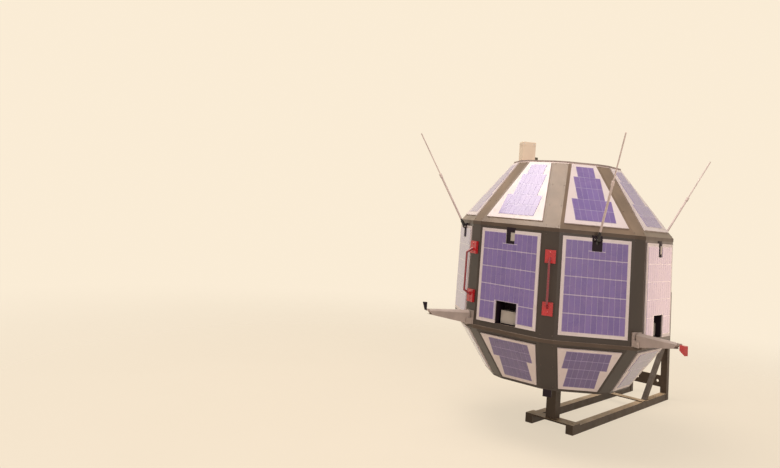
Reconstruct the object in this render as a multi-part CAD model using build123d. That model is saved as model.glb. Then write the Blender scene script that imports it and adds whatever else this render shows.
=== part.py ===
from build123d import *
import os
from math import atan2, cos, degrees, hypot, radians, sin, tan

os.makedirs("parts", exist_ok=True)

# A small spin-stabilised satellite on its wall bracket, in millimetres.
# The origin is the centre of the four wall holes, on the wall. +Y points into the wall, +Z is up.
# The satellite's spin axis is vertical. Its wide faces a to h stand at 0, 45, 90 ... degrees,
# counted from -Y towards +X, and its corners lie halfway between them.

# Wall bracket
arm_reach = 970.0
arm_nose = 30.0
arm_drop = 283.0
arm_spacing = 176.0
tube_size = 30.0
tube_wall = 2.0
tube_plug = 4.0
plate_thickness = 6.0
front_plate_length = 60.0
tie_plate_place = 305.0
tie_plate_width = 40.0
tie_plate_thickness = 4.0
upright_height = 510.0
wall_hole_rise = 410.0
wall_hole_pitch = 100.0
wall_hole_radius = 6.5
upper_wall_plate_height = 44.0
lower_wall_plate_height = 54.0
brace_size = 20.0
brace_foot_place = 266.0
brace_head_rise = 246.0
post_size = 40.0
post_height = 161.0

# Body: eight wide faces with a narrow facet across each corner
face_count = 8
facet_width = 52.0
skin = 3.0
barrel_apothem = 396.0
ring_proud = 1.5
ring_land = 8.0
ring_chamfer = 1.0
lower_ring_height = 13.0
upper_ring_height = 14.0
lower_head_inset = 11.5
lower_foot_inset = 131.3
lower_slope_height = 179.0
upper_head_inset = 190.0
upper_slope_height = 252.0
deck_thickness = 4.0
deck_lip = 2.0
strut_lap = 8.0

# Solar panels
panel_margin = 12.5
panel_thickness = 4.0
side_panel_height = 338.4
panel_foot_gap = 20.0
panel_head_gap = 9.6
upper_panel_foot_gap = 23.0
upper_panel_head_gap = 9.0
lower_panel_head_gap = 16.0
lower_panel_foot_gap = 10.0
notch_width = 37.0
foot_notch_depth = 46.0
block_notch_depth = 50.0
cutout_width = 88.0
cutout_height = 81.0
trim_width = 11.5
cell_thickness = 0.8
upper_tier_start = 40.0
upper_tiers = [
    # gap to the plate's edge at the narrow end, height along the slope
    (14.7, 97.0),
    (11.3, 106.0),
    (16.0, 51.0),
]
lower_tier_start = 24.0
lower_tiers = [
    # gap to the plate's edge at the narrow end, height along the slope
    (17.0, 86.0),
    (13.3, 79.0),
]

# Recess trays, sensor boxes, notch liners and notch blocks
tray_depth = 60.0
tray_wall = 2.0
sensor_box_width = 64.0
sensor_box_height = 46.0
sensor_box_rise = 2.0
sensor_box_setback = 23.0
notch_block_width = 17.0
notch_block_height = 30.0
notch_block_depth = 3.0
notch_block_drop = 8.5
notch_liner_thickness = 1.0

# Antennas
antenna_length = 416.0
antenna_lean = 30.0
antenna_pivot_reach = 10.0
antenna_pivot_drop = 15.0
tube_diameter = 8.0
collar_diameter = 11.0
collar_length = 16.0
tube_length = 225.0
rod_diameter = 5.0
sleeve_diameter = 12.0
sleeve_length = 26.0
knuckle_radius = 7.0
knuckle_width = 14.0
foot_gap = 0.5
foot_base = 7.0
foot_chamfer = 1.5
cheek_thickness = 4.0
cheek_gap = 0.5
antenna_pin_diameter = 4.0
pin_clearance = 0.05

# Booms
boom_pivot_reach = 22.0
boom_root_height = 48.0
boom_root_width = 26.0
boom_root_bevel = 9.0
boom_root_setback = 10.0
boom_pin_height = 10.0
boom_tip_height = 18.0
boom_tip_width = 20.0
boom_tip_bevel = 5.0
boom_tip_slant = 11.0
boom_length = 170.0
boom_pin_diameter = 6.0
hinge_plate_thickness = 4.0
hinge_plate_width = 44.0
hinge_cheek_height = 22.0
hinge_cheek_lap = 6.0
link_length = 10.5
link_height = 6.0
wedge_width = 10.0
wedge_foot_depth = 4.0
wedge_head_depth = 14.0
wedge_height = 28.0
wedge_lift = 24.0
block_width = 15.0
block_length = 21.0
block_drop = 3.0
block_height = 31.0
block_root_height = 18.0

# Red handles
handle_block_width = 37.0
handle_block_height = 46.0
handle_block_depth = 10.0
handle_foot = 59.0
handle_head = 284.0
handle_bow = 36.0
handle_splay = 20.0
handle_rod_diameter = 8.0

# Decks' fittings
top_box_size = 54.0
top_box_height = 80.0
top_box_setback = 37.0
low_block_size = 12.0
low_block_height = 20.0
deck_foot_width = 30.0
deck_foot_depth = 25.0
deck_foot_height = 25.0
equipment_size = 300.0
equipment_height = 200.0

# Reaches and levels that follow from the sizes above
lower_head_apothem = barrel_apothem - lower_head_inset
lower_foot_apothem = barrel_apothem - lower_foot_inset
upper_head_apothem = barrel_apothem - upper_head_inset
arm_underside = -arm_drop
arm_top = arm_underside + tube_size
front_plate_top = arm_top + plate_thickness
bottom_level = front_plate_top + post_height
lower_slope_foot = bottom_level + deck_thickness
lower_ring_foot = lower_slope_foot + lower_slope_height
barrel_foot = lower_ring_foot + lower_ring_height
panel_foot = barrel_foot + panel_foot_gap
panel_head = panel_foot + side_panel_height
upper_ring_foot = panel_head + panel_head_gap
upper_slope_foot = upper_ring_foot + upper_ring_height
top_deck_foot = upper_slope_foot + upper_slope_height
top_level = top_deck_foot + deck_thickness

face_step = 360.0 / face_count
half_step = radians(face_step / 2)
face_names = "abcdefgh"
corner_names = ["ab", "bc", "cd", "de", "ef", "fg", "gh", "ha"]
sensor_faces = "aceg"
antenna_faces = "bdfh"
handle_corners = ["ha", "ab", "de", "ef"]
deck_foot_corners = ["ab", "ef"]


def outward(angle):
    return Vector(sin(radians(angle)), -cos(radians(angle)), 0)


def rightward(angle):
    return Vector(cos(radians(angle)), sin(radians(angle)), 0)


def face_angle(name):
    return face_names.index(name) * face_step


def corner_angle(name):
    return (corner_names.index(name) + 0.5) * face_step


def spin_axis(level):
    return Vector(0, -arm_reach, level)


def face_plane(angle, reach, level):
    # Local X runs to the right along the face, local Y up and local Z outwards.
    return Plane(spin_axis(level) + outward(angle) * reach, x_dir=rightward(angle), z_dir=outward(angle))


def radial_plane(angle, level):
    # Local X runs outwards from the spin axis and local Y up, so a profile here is a side view.
    return Plane(spin_axis(level), x_dir=outward(angle), z_dir=outward(angle).cross(Vector(0, 0, 1)))


def half_face(apothem):
    return apothem * tan(half_step) - facet_width / 2 / cos(half_step)


def facet_reach(apothem):
    return apothem / cos(half_step) - facet_width / 2 * tan(half_step)


def section_corners(apothem, level):
    corners = []
    for number in range(face_count):
        angle = number * face_step
        middle = spin_axis(level) + outward(angle) * apothem
        for side in (-1, 1):
            corners.append(middle + rightward(angle) * side * half_face(apothem))
    return corners


def section(apothem, level):
    return make_face(Polyline(*section_corners(apothem, level), close=True))


def tapered(first, second):
    # Joins two outlines, corner to corner, by flat faces. Matching edges are parallel.
    faces = [make_face(Polyline(*first, close=True)), make_face(Polyline(*second, close=True))]
    for number, corner in enumerate(first):
        following = (number + 1) % len(first)
        side = Polyline(corner, first[following], second[following], second[number], close=True)
        faces.append(make_face(side))
    solid = Solid(Shell(faces))
    return solid if solid.volume > 0 else Solid(Shell([-face for face in faces]))


def body_shell(foot_apothem, foot_level, head_apothem, head_level):
    height = head_level - foot_level
    inset = skin * hypot(height, foot_apothem - head_apothem) / height
    foot = section_corners(foot_apothem, foot_level)
    head = section_corners(head_apothem, head_level)
    inner_foot = section_corners(foot_apothem - inset, foot_level)
    inner_head = section_corners(head_apothem - inset, head_level)
    return tapered(foot, head) - tapered(inner_foot, inner_head)


def corner_wedges(foot_level, head_level):
    # The strut flanges reach under the panels' edges, so no seam shows beside a panel.
    width = facet_width + 2 * (panel_margin + strut_lap) * cos(half_step)
    wedges = []
    for name in corner_names:
        plane = face_plane(corner_angle(name), 0, foot_level)
        wedges.append(plane * Box(width, head_level - foot_level, 2 * barrel_apothem,
                                  align=(Align.CENTER, Align.MIN, Align.MIN)))
    return wedges


def slab(plane, outline, thickness):
    return extrude(plane * make_face(Polyline(*outline, close=True)), thickness)


def write(name, solids):
    pieces = []
    for solid in solids:
        pieces.extend(solid.solids())
    export_step(pieces[0] if len(pieces) == 1 else Compound(children=pieces), f"parts/{name}.step")


def slope(foot_apothem, foot_level, head_apothem, head_level):
    # One sloping wide face: its length and the lean of its outer surface from the vertical.
    run = foot_apothem - head_apothem
    rise = head_level - foot_level
    return hypot(run, rise), atan2(run, rise)


def slope_plane(angle, foot_apothem, foot_level, lean):
    # Local Y climbs the slope and local Z is square to it.
    normal = outward(angle) * cos(lean) + Vector(0, 0, sin(lean))
    return Plane(spin_axis(foot_level) + outward(angle) * foot_apothem, x_dir=rightward(angle), z_dir=normal)


# Struts, walls, rings and decks

shells = [
    body_shell(lower_foot_apothem, lower_slope_foot, lower_head_apothem, lower_ring_foot),
    body_shell(barrel_apothem, barrel_foot, barrel_apothem, upper_ring_foot),
    body_shell(barrel_apothem, upper_slope_foot, upper_head_apothem, top_deck_foot),
]
wedge_rows = [
    corner_wedges(lower_slope_foot, lower_ring_foot),
    corner_wedges(barrel_foot, upper_ring_foot),
    corner_wedges(upper_slope_foot, top_deck_foot),
]
struts = []
walls = []
for shell, wedges in zip(shells, wedge_rows):
    for wedge in wedges:
        struts.append(shell & wedge)
    walls.append(shell - wedges)

lower_walls, side_walls, upper_walls = walls
for name in sensor_faces:
    opening = face_plane(face_angle(name), 0, panel_foot) * Box(
        cutout_width, cutout_height, 2 * barrel_apothem, align=(Align.CENTER, Align.MIN, Align.MIN))
    side_walls = side_walls - opening
write("corner_struts", struts)
write("body_walls", [lower_walls, side_walls, upper_walls])


def ring(level, height, bore_apothem):
    outside = extrude(section(barrel_apothem + ring_proud, level), height)
    band = outside - extrude(section(bore_apothem, level), height)
    rim = band.faces().sort_by(Axis.Z)[-1].outer_wire().edges()
    return chamfer(rim, ring_chamfer)


write("lower_ring", [ring(lower_ring_foot, lower_ring_height, lower_head_apothem - ring_land)])
write("upper_ring", [ring(upper_ring_foot, upper_ring_height, barrel_apothem - ring_land)])
write("bottom_deck", [extrude(section(lower_foot_apothem, bottom_level), deck_thickness)])
write("top_deck", [extrude(section(upper_head_apothem + deck_lip, top_deck_foot), deck_thickness)])

# Solar panels: a white plate on each wide face and a thin field of cells on each plate

side_half = half_face(barrel_apothem) - panel_margin
side_cells = []
for name in face_names:
    angle = face_angle(name)
    plane = face_plane(angle, barrel_apothem, panel_foot)
    plate = plane * Box(2 * side_half, side_panel_height, panel_thickness,
                        align=(Align.CENTER, Align.MIN, Align.MIN))
    notch_depth = block_notch_depth if name in sensor_faces else foot_notch_depth
    notch = plane * Pos(0, side_panel_height - notch_depth) * Box(
        notch_width, 2 * notch_depth, 3 * panel_thickness, align=(Align.CENTER, Align.MIN, Align.CENTER))
    cell_plane = face_plane(angle, barrel_apothem + panel_thickness, panel_foot)
    cells = cell_plane * Pos(0, trim_width) * Box(
        2 * (side_half - trim_width), side_panel_height - 2 * trim_width, cell_thickness,
        align=(Align.CENTER, Align.MIN, Align.MIN))
    plate = plate - notch
    cells = cells - notch
    if name in sensor_faces:
        opening = plane * Box(cutout_width, 2 * cutout_height, 3 * panel_thickness)
        plate = plate - opening
        cells = cells - opening
    write(f"side_panel_{name}", [plate])
    side_cells.append(cells)
write("side_cells", side_cells)


def sloping_panels(row, foot, head, foot_gap, head_gap, tier_start, tiers):
    # Foot and head are each an apothem and a level. The plate follows the strut edges, and its
    # cells stand in tiers that step in with the slope.
    foot_apothem, foot_level = foot
    head_apothem, head_level = head
    length, lean = slope(foot_apothem, foot_level, head_apothem, head_level)

    def half_width(place):
        return half_face(foot_apothem + (head_apothem - foot_apothem) * place / length) - panel_margin

    stop = length - head_gap
    fields = []
    for name in face_names:
        plane = slope_plane(face_angle(name), foot_apothem, foot_level, lean)
        outline = [(-half_width(foot_gap), foot_gap), (half_width(foot_gap), foot_gap),
                   (half_width(stop), stop), (-half_width(stop), stop)]
        write(f"{row}_panel_{name}", [slab(plane, outline, panel_thickness)])
        right_side = []
        place = tier_start
        for edge_gap, height in tiers:
            half = min(half_width(place), half_width(place + height)) - edge_gap
            right_side.append((half, place))
            right_side.append((half, place + height))
            place = place + height
        left_side = [(-x, y) for x, y in reversed(right_side)]
        fields.append(slab(plane.offset(panel_thickness), right_side + left_side, cell_thickness))
    write(f"{row}_cells", fields)


sloping_panels("upper", (barrel_apothem, upper_slope_foot), (upper_head_apothem, top_deck_foot),
               upper_panel_foot_gap, upper_panel_head_gap, upper_tier_start, upper_tiers)
sloping_panels("lower", (lower_foot_apothem, lower_slope_foot), (lower_head_apothem, lower_ring_foot),
               lower_panel_foot_gap, lower_panel_head_gap, lower_tier_start, lower_tiers)

# Recess trays with a sensor box, and the black liners and grey blocks in the upper notches

trays = []
boxes = []
blocks = []
for name in sensor_faces:
    angle = face_angle(name)
    plane = face_plane(angle, barrel_apothem - skin, panel_foot)
    tray = plane * Box(cutout_width + 2 * tray_wall, cutout_height + 2 * tray_wall, tray_depth,
                       align=(Align.CENTER, Align.CENTER, Align.MAX))
    hollow = plane * Box(cutout_width, cutout_height, tray_depth - tray_wall,
                         align=(Align.CENTER, Align.CENTER, Align.MAX))
    trays.append(Pos(0, 0, cutout_height / 2) * (tray - hollow))
    back_reach = barrel_apothem - skin - tray_depth + tray_wall
    sensor_box_depth = barrel_apothem + panel_thickness - sensor_box_setback - back_reach
    back = face_plane(angle, back_reach, panel_foot + sensor_box_rise)
    boxes.append(back * Box(sensor_box_width, sensor_box_height, sensor_box_depth,
                            align=(Align.CENTER, Align.MIN, Align.MIN)))
    liner_seat = face_plane(angle, barrel_apothem, panel_head - block_notch_depth)
    liner_height = block_notch_depth + panel_head_gap
    trays.append(liner_seat * Box(notch_width, liner_height, notch_liner_thickness,
                                  align=(Align.CENTER, Align.MIN, Align.MIN)))
    block_level = panel_head - notch_block_drop - notch_block_height
    block_seat = face_plane(angle, barrel_apothem + notch_liner_thickness, block_level)
    blocks.append(block_seat * Pos(notch_width / 2 - notch_block_width, 0) * Box(
        notch_block_width, notch_block_height, notch_block_depth, align=(Align.MIN, Align.MIN, Align.MIN)))
write("recess_trays", trays)
write("sensor_boxes", boxes)
write("notch_blocks", blocks)

# Antennas: a rod that leans out from a clevis in the notch

feet = []
pivot_level = upper_ring_foot - antenna_pivot_drop
pivot_reach = barrel_apothem + antenna_pivot_reach
foot_height = foot_notch_depth + panel_head_gap - 2 * foot_gap
cheek_place = knuckle_width / 2 + cheek_gap + cheek_thickness / 2
whip_rows = [
    # diameter, height of its end along the whip
    (sleeve_diameter, sleeve_length),
    (tube_diameter, tube_length - collar_length / 2),
    (collar_diameter, tube_length + collar_length / 2),
    (rod_diameter, antenna_length),
]
whip_outline = [(0, 0)]
place = 0
for diameter, end in whip_rows:
    whip_outline.append((diameter / 2, place))
    whip_outline.append((diameter / 2, end))
    place = end
whip_outline.append((0, antenna_length))
for name in antenna_faces:
    angle = face_angle(name)
    pivot = face_plane(angle, pivot_reach, pivot_level)
    lean = radians(antenna_lean)
    whip_line = outward(angle) * sin(lean) + Vector(0, 0, cos(lean))
    lean_plane = Plane(pivot.origin, x_dir=rightward(angle), z_dir=whip_line)
    seat = face_plane(angle, barrel_apothem, panel_head - foot_notch_depth + foot_gap)
    base = seat * Box(notch_width - 2 * foot_gap, foot_height, foot_base,
                      align=(Align.CENTER, Align.MIN, Align.MIN))
    front_rim = base.faces().sort_by(lambda face: (face.center() - seat.origin).dot(seat.z_dir))[-1].edges()
    foot = chamfer(front_rim, foot_chamfer)
    # The knuckle turns in a pocket of the base, and the whip leans clear of it.
    foot = foot - pivot * Rot(0, 90, 0) * Cylinder(knuckle_radius + cheek_gap, knuckle_width + 2 * cheek_gap)
    foot = foot - lean_plane * Cylinder(sleeve_diameter / 2 + cheek_gap, 2 * sleeve_length)
    for side in (-1, 1):
        arm = seat * Pos(side * cheek_place, pivot_level - seat.origin.Z) * Box(
            cheek_thickness, 2 * knuckle_radius, antenna_pivot_reach,
            align=(Align.CENTER, Align.CENTER, Align.MIN))
        nose = pivot * Pos(side * cheek_place, 0) * Rot(0, 90, 0) * Cylinder(knuckle_radius, cheek_thickness)
        foot = foot + arm + nose
    pin = pivot * Rot(0, 90, 0) * Cylinder(antenna_pin_diameter / 2, 2 * cheek_place)
    feet.append(foot + pin)

    whip = lean_plane * revolve(Plane.XZ * make_face(Polyline(*whip_outline, close=True)), Axis.Z)
    antenna = pivot * Rot(0, 90, 0) * Cylinder(knuckle_radius, knuckle_width) + whip
    bore = pivot * Rot(0, 90, 0) * Cylinder(antenna_pin_diameter / 2 + pin_clearance, 2 * knuckle_width)
    write(f"antenna_{name}", [antenna - bore])
write("antenna_feet", feet)

# Booms: a tapered box on a hinge at the foot of a corner strut, with a cap at its tip

boom_rows = [
    # corner, has a red block
    ("ha", False),
    ("bc", True),
    ("de", False),
    ("fg", True),
]
strut_reach = facet_reach(barrel_apothem)
boom_foot = barrel_foot
boom_pivot_level = boom_foot + boom_pin_height
boom_pivot = strut_reach + boom_pivot_reach
boom_head = boom_foot + boom_root_height
boom_root = boom_pivot - boom_root_setback
boom_tip = boom_root + boom_length
hinge_cheek_place = boom_root_width / 2 + cheek_gap + cheek_thickness / 2


def boom_section(angle, reach, width, height, bevel):
    # The upright end view of the boom, level along its top, with both top edges bevelled.
    plane = face_plane(angle, reach, boom_head)
    half = width / 2
    outline = [(-half, -height), (half, -height), (half, -bevel), (half - bevel, 0),
               (bevel - half, 0), (-half, -bevel)]
    return [plane.from_local_coords(Vector(x, y, 0)) for x, y in outline]


hinges = []
for name, has_block in boom_rows:
    angle = corner_angle(name)
    side = radial_plane(angle, 0)
    pin_plane = face_plane(angle, boom_pivot, boom_pivot_level)
    boom = tapered(boom_section(angle, boom_root, boom_root_width, boom_root_height, boom_root_bevel),
                   boom_section(angle, boom_tip, boom_tip_width, boom_tip_height, boom_tip_bevel))
    bore = pin_plane * Rot(0, 90, 0) * Cylinder(boom_pin_diameter / 2 + pin_clearance, 2 * boom_root_width)
    # The end of the boom is cut back towards its underside.
    cut = [(boom_tip - boom_tip_slant, boom_head - boom_tip_height), (boom_tip, boom_head - link_height),
           (boom_tip, boom_head - boom_tip_height)]
    slant = extrude(side * make_face(Polyline(*cut, close=True)), boom_root_width, both=True)
    # A thin link on the boom's end carries the cap.
    cap_foot = boom_tip + link_length
    link_outline = [(boom_tip, boom_head - link_height), (cap_foot, boom_head - link_height),
                    (cap_foot, boom_head), (boom_tip, boom_head)]
    link = extrude(side * make_face(Polyline(*link_outline, close=True)), wedge_width / 2, both=True)
    write(f"boom_{name}", [boom - bore - slant + link])

    if has_block:
        cap_width = block_width
        block_nose = cap_foot + block_length
        block_head_level = boom_head - block_drop
        outline = [(cap_foot, block_head_level), (block_nose, block_head_level),
                   (block_nose, block_head_level - block_height),
                   (cap_foot, block_head_level - block_root_height)]
    else:
        cap_width = wedge_width
        wedge_head_level = boom_head + wedge_lift
        wedge_foot_level = wedge_head_level - wedge_height
        outline = [(cap_foot, wedge_foot_level), (cap_foot + wedge_foot_depth, wedge_foot_level),
                   (cap_foot + wedge_head_depth, wedge_head_level), (cap_foot, wedge_head_level)]
    cap = extrude(side * make_face(Polyline(*outline, close=True)), cap_width / 2, both=True)
    write(f"boom_tip_{name}", [cap])

    hinge = face_plane(angle, strut_reach, boom_foot) * Box(
        hinge_plate_width, boom_root_height, hinge_plate_thickness,
        align=(Align.CENTER, Align.MIN, Align.MIN))
    for hand in (-1, 1):
        cheek = face_plane(angle, strut_reach, boom_foot) * Pos(hand * hinge_cheek_place, 0) * Box(
            cheek_thickness, hinge_cheek_height, boom_pivot_reach + hinge_cheek_lap,
            align=(Align.CENTER, Align.MIN, Align.MIN))
        hinge = hinge + cheek
    pin = pin_plane * Rot(0, 90, 0) * Cylinder(boom_pin_diameter / 2, 2 * hinge_cheek_place)
    hinges.append(hinge + pin)
write("boom_hinges", hinges)

# Red handles: two blocks on a strut with a bowed rod between them

handles = []
for name in handle_corners:
    angle = corner_angle(name)
    handle = None
    for foot in (handle_foot, handle_head - handle_block_height):
        block = face_plane(angle, strut_reach, panel_foot + foot) * Box(
            handle_block_width, handle_block_height, handle_block_depth,
            align=(Align.CENTER, Align.MIN, Align.MIN))
        handle = block if handle is None else handle + block
    low = panel_foot + handle_foot + handle_block_height / 2
    high = panel_foot + handle_head - handle_block_height / 2
    side = radial_plane(angle, 0)
    root = strut_reach + handle_block_depth / 2
    bow = strut_reach + handle_bow
    route = side * Polyline((root, low), (bow, low + handle_splay), (bow, high - handle_splay), (root, high))
    start = Plane(route @ 0, z_dir=route % 0)
    rod = sweep(start * Circle(handle_rod_diameter / 2), path=route, transition=Transition.RIGHT)
    handles.append(handle + rod)
write("red_handles", handles)

# Fittings on the decks

top_box_reach = upper_head_apothem - top_box_setback
top_box = face_plane(-face_step, top_box_reach, top_level) * Box(
    top_box_size, top_box_height, top_box_size, align=(Align.CENTER, Align.MIN, Align.CENTER))
write("top_box", [top_box])
# The low block stands against the inner side of the top box, at its corner.
inner_side = face_plane(-face_step, top_box_reach - top_box_size / 2, top_level)
low_block = inner_side * Pos(top_box_size / 2, 0) * Box(
    low_block_size, low_block_height, low_block_size, align=(Align.MAX, Align.MIN, Align.MAX))
write("low_block", [low_block])

deck_feet = []
for name in deck_foot_corners:
    foot_plane = face_plane(corner_angle(name), facet_reach(lower_foot_apothem), bottom_level)
    deck_feet.append(foot_plane * Box(deck_foot_width, deck_foot_height, deck_foot_depth,
                                      align=(Align.CENTER, Align.MAX, Align.MAX)))
write("deck_feet", deck_feet)
write("equipment_block", [Pos(spin_axis(lower_slope_foot)) * Box(
    equipment_size, equipment_size, equipment_height, align=(Align.CENTER, Align.CENTER, Align.MIN))])

# Wall bracket: square tubes, flat plates and the post under the satellite


def square_tube(size, length):
    # A plug closes the far end of the tube.
    tube = Box(size, size, length, align=(Align.CENTER, Align.CENTER, Align.MIN))
    bore = Box(size - 2 * tube_wall, size - 2 * tube_wall, length - tube_plug,
               align=(Align.CENTER, Align.CENTER, Align.MIN))
    return tube - bore


arms = []
uprights = []
braces = []
arm_level = arm_underside + tube_size / 2
arm_end = arm_reach + arm_nose - tube_size
upright_line = -tube_size / 2
brace_run = brace_foot_place - tube_size
for side in (-1, 1):
    x = side * arm_spacing / 2
    arms.append(Pos(x, -tube_size, arm_level) * Rot(90, 0, 0) * square_tube(tube_size, arm_end))
    uprights.append(Pos(x, upright_line, arm_underside) * square_tube(tube_size, upright_height))
    lean = degrees(atan2(brace_head_rise, brace_run))
    stretch = hypot(brace_head_rise, brace_run)
    brace = Pos(x, -brace_foot_place, arm_top) * Rot(lean - 90, 0, 0) * Pos(0, 0, -stretch / 2) * square_tube(
        brace_size, 2 * stretch)
    clear = Pos(x, -tube_size, arm_top) * Box(tube_size, arm_reach, upright_height,
                                              align=(Align.CENTER, Align.MAX, Align.MIN))
    braces.append(brace & clear)
write("bracket_arms", arms)
write("bracket_uprights", uprights)
write("bracket_braces", braces)

inside_width = arm_spacing - tube_size
outside_width = arm_spacing + tube_size
plates = []
for side, height in ((1, upper_wall_plate_height), (-1, lower_wall_plate_height)):
    level = side * wall_hole_rise / 2
    plate = Pos(0, 0, level) * Box(inside_width, plate_thickness, height,
                                   align=(Align.CENTER, Align.MAX, Align.CENTER))
    for hand in (-1, 1):
        plate = plate - Pos(hand * wall_hole_pitch / 2, 0, level) * Rot(90, 0, 0) * Cylinder(
            wall_hole_radius, 3 * plate_thickness)
    plates.append(plate)
plates.append(Pos(0, -arm_reach, arm_top) * Box(
    outside_width, front_plate_length, plate_thickness, align=(Align.CENTER, Align.CENTER, Align.MIN)))
plates.append(Pos(0, -tie_plate_place, arm_top) * Box(
    outside_width, tie_plate_width, tie_plate_thickness, align=(Align.CENTER, Align.CENTER, Align.MIN)))
write("bracket_plates", plates)

write("bracket_post", [Pos(spin_axis(front_plate_top)) * Box(
    post_size, post_size, post_height, align=(Align.CENTER, Align.CENTER, Align.MIN))])
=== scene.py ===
from math import atan2, cos, radians, sin, tan

import bmesh
import bpy
from mathutils import Matrix, Vector


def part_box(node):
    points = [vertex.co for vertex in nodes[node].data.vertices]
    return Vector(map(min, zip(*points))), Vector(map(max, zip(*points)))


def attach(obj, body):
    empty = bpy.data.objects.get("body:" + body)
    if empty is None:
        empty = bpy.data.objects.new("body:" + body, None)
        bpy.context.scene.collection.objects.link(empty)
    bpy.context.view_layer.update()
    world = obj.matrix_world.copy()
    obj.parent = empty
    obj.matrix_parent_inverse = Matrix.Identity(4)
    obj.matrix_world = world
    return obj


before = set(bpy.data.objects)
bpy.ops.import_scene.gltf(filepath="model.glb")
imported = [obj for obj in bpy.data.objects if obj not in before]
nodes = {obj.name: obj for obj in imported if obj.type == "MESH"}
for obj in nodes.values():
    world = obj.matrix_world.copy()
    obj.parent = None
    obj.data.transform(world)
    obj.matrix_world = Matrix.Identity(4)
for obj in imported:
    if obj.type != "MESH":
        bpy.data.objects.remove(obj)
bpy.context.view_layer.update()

# Camera
# It stands a little to the right of the front, below the middle of the body and tilted a few
# degrees to one side. The lens sits high in the frame, so the picture reaches further down than up.
camera_data = bpy.data.cameras.new("front_right_camera")
camera_data.sensor_width = 36.0
camera_data.lens = 32.165
camera_data.shift_x = -0.00875
camera_data.shift_y = -0.1593
camera_data.clip_end = 60.0
camera = bpy.data.objects.new("front_right_camera", camera_data)
camera.location = (1.37745, -3.60481, 0.49667)
camera.rotation_euler = (radians(98.3236), radians(-5.2343), radians(40.9054))
bpy.context.scene.collection.objects.link(camera)
bpy.context.scene.camera = camera


# Wall bracket
# Two arms, two uprights and two braces of square steel tube, welded together with flat plates and
# a square post. Its dark brown paint is thin on its edges, and its tops are pale with dust and a painted
# highlight.
def add_node(tree, kind, **settings):
    node = tree.nodes.new(kind)
    for key, value in settings.items():
        setattr(node, key, value)
    return node


def feed(tree, value, socket):
    if isinstance(value, bpy.types.NodeSocket):
        tree.links.new(value, socket)
    else:
        socket.default_value = value


def sums(tree, operation, first, second=0.5, clamp=False):
    node = add_node(tree, "ShaderNodeMath", operation=operation, use_clamp=clamp)
    feed(tree, first, node.inputs[0])
    feed(tree, second, node.inputs[1])
    return node.outputs[0]


def spread(tree, value, low, high, to_low=0.0, to_high=1.0):
    node = add_node(tree, "ShaderNodeMapRange", interpolation_type="SMOOTHSTEP")
    feed(tree, value, node.inputs["Value"])
    for name, number in (("From Min", low), ("From Max", high), ("To Min", to_low), ("To Max", to_high)):
        feed(tree, number, node.inputs[name])
    return node.outputs["Result"]


def tint(tree, share, first, second):
    node = add_node(tree, "ShaderNodeMix", data_type="RGBA")
    feed(tree, share, node.inputs[0])
    feed(tree, first, node.inputs[6])
    feed(tree, second, node.inputs[7])
    return node.outputs[2]


def on_object(tree):
    return add_node(tree, "ShaderNodeTexCoord").outputs["Object"]


def parted(tree, vector):
    node = add_node(tree, "ShaderNodeSeparateXYZ")
    tree.links.new(vector, node.inputs[0])
    return node.outputs


def speckle(tree, scale, detail):
    noise = add_node(tree, "ShaderNodeTexNoise")
    feed(tree, scale, noise.inputs["Scale"])
    noise.inputs["Detail"].default_value = detail
    tree.links.new(on_object(tree), noise.inputs["Vector"])
    return noise.outputs["Fac"]


def new_group(name, inputs, outputs):
    # Sockets named with Color hold a colour, and all others a number.
    group = bpy.data.node_groups.new(name, "ShaderNodeTree")
    for side, labels in (("INPUT", inputs), ("OUTPUT", outputs)):
        for label in labels:
            kind = "NodeSocketColor" if "Color" in label else "NodeSocketFloat"
            group.interface.new_socket(name=label, in_out=side, socket_type=kind)
    taken = add_node(group, "NodeGroupInput").outputs
    return group, taken, add_node(group, "NodeGroupOutput").inputs


# Paint that is a little patchy in colour and gloss, with a fine grain in its surface.
paint_film, taken, given = new_group(
    "paint_film", ["Color", "Patch Color", "Patch", "Scale", "Roughness", "Gloss Spread"],
    ["Color", "Roughness", "Height"])
broad = speckle(paint_film, taken["Scale"], 5.0)
share = sums(paint_film, "MULTIPLY", spread(paint_film, broad, 0.38, 0.66), taken["Patch"])
paint_film.links.new(tint(paint_film, share, taken["Color"], taken["Patch Color"]), given["Color"])
middle = speckle(paint_film, sums(paint_film, "MULTIPLY", taken["Scale"], 2.7), 3.0)
shift = sums(paint_film, "MULTIPLY", sums(paint_film, "SUBTRACT", middle, 0.5), taken["Gloss Spread"])
paint_film.links.new(sums(paint_film, "ADD", taken["Roughness"], shift, clamp=True), given["Roughness"])
fine = speckle(paint_film, sums(paint_film, "MULTIPLY", taken["Scale"], 45.0), 2.0)
paint_film.links.new(fine, given["Height"])

# Edges rubbed bare, in broken runs.
worn_edges, taken, given = new_group("worn_edges", ["Width", "Amount"], ["Mask"])
rounded = add_node(worn_edges, "ShaderNodeBevel", samples=4)
worn_edges.links.new(taken["Width"], rounded.inputs["Radius"])
flat = add_node(worn_edges, "ShaderNodeNewGeometry")
lean = add_node(worn_edges, "ShaderNodeVectorMath", operation="DOT_PRODUCT")
worn_edges.links.new(rounded.outputs["Normal"], lean.inputs[0])
worn_edges.links.new(flat.outputs["True Normal"], lean.inputs[1])
bare = spread(worn_edges, sums(worn_edges, "SUBTRACT", 1.0, lean.outputs["Value"]), 0.02, 0.16)
broken = spread(worn_edges, speckle(worn_edges, 38.0, 6.0), 0.44, 0.60)
rubbed = sums(worn_edges, "MULTIPLY", bare, broken)
worn_edges.links.new(sums(worn_edges, "MULTIPLY", rubbed, taken["Amount"], clamp=True), given["Mask"])
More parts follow.
